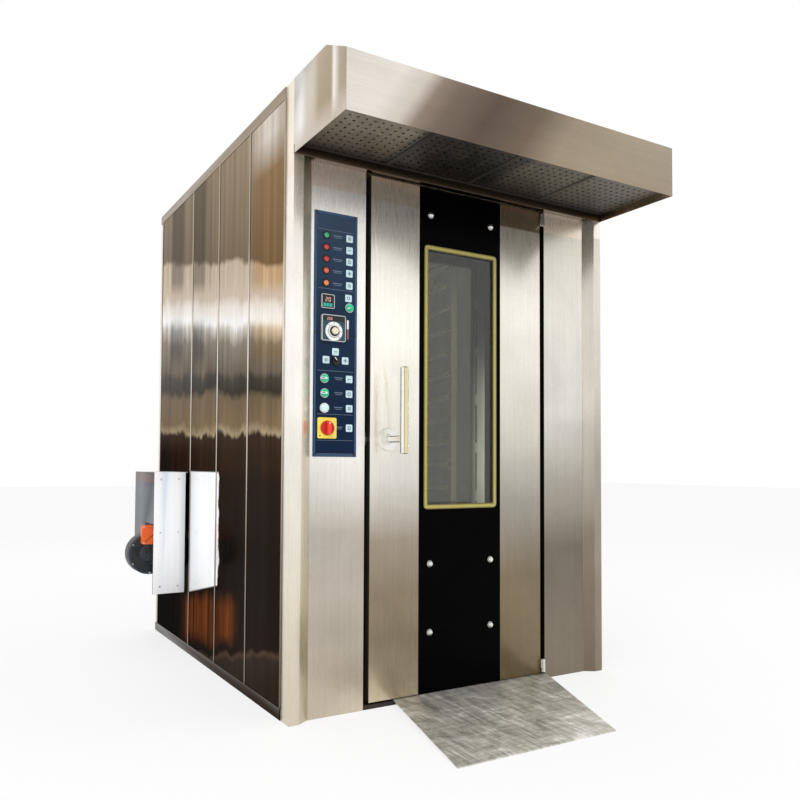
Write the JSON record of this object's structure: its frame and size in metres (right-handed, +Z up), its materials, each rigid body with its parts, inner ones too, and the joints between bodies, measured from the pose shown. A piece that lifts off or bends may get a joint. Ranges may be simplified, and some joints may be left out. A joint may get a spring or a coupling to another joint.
{
  "type": "rotating rack oven",
  "caption": "Tall steel bakery oven with a hinged window door, a steam hood, a side burner, and a turntable that spins a wheeled tray rack in hot air.",
  "frame": {"origin": "on the floor under the middle of the body, without hood, burner and ramp", "axes": "+Z up, the door faces -Y, the burner is on the -X side"},
  "size_m": [1.763, 2.4541, 2.333],
  "materials": {
    "black_knob": "satin",
    "black_panel": "gloss",
    "brass_handle": "polished",
    "bright_steel": "polished",
    "burner_black": "satin",
    "burner_orange": "gloss",
    "caster_tyre": "matt",
    "chain_steel": "oiled",
    "chamber_steel": "dull",
    "clear_glass": "clear",
    "dark_steel": "satin",
    "door_foam": "matt",
    "galvanised": "dull",
    "gold_gasket": "satin gold",
    "green_knob": "gloss",
    "grey_alloy": "cast",
    "heat_steel": "matt oxide",
    "instrument_grey": "satin",
    "isolator_red": "gloss",
    "isolator_yellow": "satin",
    "ivory_knob": "satin",
    "lamp_glass": "clear",
    "lamp_red": "translucent gloss",
    "machine_paint": "gloss",
    "mineral_wool": "matt",
    "navy_foil": "satin",
    "pale_tile": "satin",
    "polished_steel": "mirror polished",
    "sheet_steel": "brushed",
    "silicone": "matt",
    "white_enamel": "satin",
    "white_knob": "gloss",
    "worn_plate": "worn"
  },
  "bodies": {
    "casing": {"base_frame": "dark_steel", "corner_posts": "sheet_steel", "casing_panels": "polished_steel", "trim_strips": "sheet_steel", "insulation": "mineral_wool", "front_panels": "sheet_steel", "door_frame": "chamber_steel", "chamber_floor": "chamber_steel", "chamber_liner": "chamber_steel", "heater_walls": "chamber_steel", "interior_lamp": "lamp_glass", "hood_shell": "sheet_steel", "hood_filters": "chamber_steel", "vent_pipes": "galvanised", "combustion_chamber": "heat_steel", "heat_exchanger": "heat_steel", "motors": "machine_paint", "drive_chain": "chain_steel", "steam_generator": "chamber_steel", "burner_cover": "white_enamel", "burner_housing": "burner_black", "burner_control_box": "burner_orange", "control_plate": "navy_foil", "control_box": "galvanised", "icon_tiles": "pale_tile", "pilot_lamps": "lamp_red", "panel_instruments": "instrument_grey", "isolator_plate": "isolator_yellow", "hinge_pins": "bright_steel"},
    "door": {"door_core": "door_foam", "door_skins": "sheet_steel", "door_black_panel": "black_panel", "window_gasket": "gold_gasket", "window_glass": "clear_glass", "door_seal": "silicone", "door_fittings": "bright_steel"},
    "handle": {"door_handle": "brass_handle"},
    "latch": {"latch_tongue": "bright_steel"},
    "turntable": {"turntable_disc": "chamber_steel", "drive_shaft": "chamber_steel", "rack": "chamber_steel"},
    "front_left_swivel": {"front_left_caster": "galvanised"},
    "front_right_swivel": {"front_right_caster": "galvanised"},
    "front_left_roller": {"front_left_wheel": "caster_tyre"},
    "front_right_roller": {"front_right_wheel": "caster_tyre"},
    "rear_left_roller": {"rear_left_wheel": "caster_tyre"},
    "rear_right_roller": {"rear_right_wheel": "caster_tyre"},
    "chain_drive": {"motor_sprocket": "chain_steel"},
    "air_fan": {"circulation_fan": "chamber_steel"},
    "vapour_fan": {"hood_fan": "grey_alloy"},
    "blower": {"burner_fan": "grey_alloy"},
    "damper": {"steam_damper": "chamber_steel"},
    "dial": {"temperature_dial": "ivory_knob"},
    "mode_switch": {"mode_selector": "black_knob"},
    "timer_switch": {"timer_selector": "green_knob"},
    "fan_switch": {"fan_selector": "green_knob"},
    "steam_switch": {"steam_selector": "green_knob"},
    "button": {"start_button": "white_knob"},
    "isolator": {"isolator_knob": "isolator_red"},
    "ramp_plate": {"ramp": "worn_plate"}
  },
  "joints": [
    {"name": "door_swing", "type": "hinge", "parent": "casing", "child": "door", "pos_m": [0.429, -0.897, 1.015], "axis": [0, 0, 1], "range_deg": [0, 110]},
    {"name": "handle_turn", "type": "hinge", "parent": "door", "child": "handle", "pos_m": [-0.34, -0.895, 1.004], "axis": [0, 1, 0], "range_deg": [0, 90]},
    {"name": "latch_slide", "type": "slide", "parent": "door", "child": "latch", "axis": [1, 0, 0], "range_m": [0, 0.014]},
    {"name": "turntable_spin", "type": "hinge", "parent": "casing", "child": "turntable", "pos_m": [0, -0.305, 0.026], "axis": [0, 0, 1], "continuous": true},
    {"name": "front_left_swivel_turn", "type": "hinge", "parent": "turntable", "child": "front_left_swivel", "pos_m": [-0.21441, -0.52012, 0.14], "axis": [0, 0, 1], "continuous": true},
    {"name": "front_right_swivel_turn", "type": "hinge", "parent": "turntable", "child": "front_right_swivel", "pos_m": [0.10838, -0.58873, 0.14], "axis": [0, 0, 1], "continuous": true},
    {"name": "front_left_wheel_roll", "type": "hinge", "parent": "front_left_swivel", "child": "front_left_roller", "pos_m": [-0.21025, -0.50056, 0.0793], "axis": [0.9781, -0.2079, 0], "continuous": true},
    {"name": "front_right_wheel_roll", "type": "hinge", "parent": "front_right_swivel", "child": "front_right_roller", "pos_m": [0.11253, -0.56917, 0.0793], "axis": [0.9781, -0.2079, 0], "continuous": true},
    {"name": "rear_left_wheel_roll", "type": "hinge", "parent": "turntable", "child": "rear_left_roller", "pos_m": [-0.10838, -0.02127, 0.0793], "axis": [0.9781, -0.2079, 0], "continuous": true},
    {"name": "rear_right_wheel_roll", "type": "hinge", "parent": "turntable", "child": "rear_right_roller", "pos_m": [0.21441, -0.08988, 0.0793], "axis": [0.9781, -0.2079, 0], "continuous": true},
    {"name": "motor_sprocket_spin", "type": "hinge", "parent": "casing", "child": "chain_drive", "pos_m": [0.33, -0.305, 2.086], "axis": [0, 0, 1], "continuous": true},
    {"name": "circulation_fan_spin", "type": "hinge", "parent": "casing", "child": "air_fan", "pos_m": [0, 0.44, 1.755], "axis": [0, 0, 1], "continuous": true},
    {"name": "hood_fan_spin", "type": "hinge", "parent": "casing", "child": "vapour_fan", "pos_m": [0, -1.055, 2.114], "axis": [0, 0, 1], "continuous": true},
    {"name": "burner_fan_spin", "type": "hinge", "parent": "casing", "child": "blower", "pos_m": [-0.913, 0.44, 0.475], "axis": [0, 1, 0], "continuous": true},
    {"name": "damper_turn", "type": "hinge", "parent": "casing", "child": "damper", "pos_m": [0, -0.718, 2.1655], "axis": [1, 0, 0], "range_deg": [0, 90]},
    {"name": "temperature_dial_turn", "type": "hinge", "parent": "casing", "child": "dial", "pos_m": [-0.578, -0.898, 1.39418], "axis": [0, 1, 0], "range_deg": [0, 270]},
    {"name": "mode_selector_turn", "type": "hinge", "parent": "casing", "child": "mode_switch", "pos_m": [-0.565, -0.898, 1.28571], "axis": [0, 1, 0], "range_deg": [-45, 45]},
    {"name": "timer_selector_turn", "type": "hinge", "parent": "casing", "child": "timer_switch", "pos_m": [-0.51, -0.898, 1.48799], "axis": [0, 1, 0], "range_deg": [0, 90]},
    {"name": "fan_selector_turn", "type": "hinge", "parent": "casing", "child": "fan_switch", "pos_m": [-0.61, -0.898, 1.22098], "axis": [0, 1, 0], "range_deg": [0, 90]},
    {"name": "steam_selector_turn", "type": "hinge", "parent": "casing", "child": "steam_switch", "pos_m": [-0.609, -0.898, 1.16704], "axis": [0, 1, 0], "range_deg": [0, 90]},
    {"name": "start_button_press", "type": "slide", "parent": "casing", "child": "button", "axis": [0, 1, 0], "range_m": [0, 0.003], "stiffness_N_per_m": 500, "springref_m": -0.002},
    {"name": "isolator_knob_turn", "type": "hinge", "parent": "casing", "child": "isolator", "pos_m": [-0.599, -0.898, 1.04028], "axis": [0, 1, 0], "range_deg": [0, 90]},
    {"name": "ramp_slide", "type": "slide", "parent": "casing", "child": "ramp_plate", "axis": [0, -1, 0], "range_m": [0, 0.1]}
  ],
  "couplings": [
    {"joint": "latch_slide", "follows": "handle_turn", "m_per_rad": 0.0089127},
    {"joint": "motor_sprocket_spin", "follows": "turntable_spin", "ratio": 2}
  ]
}
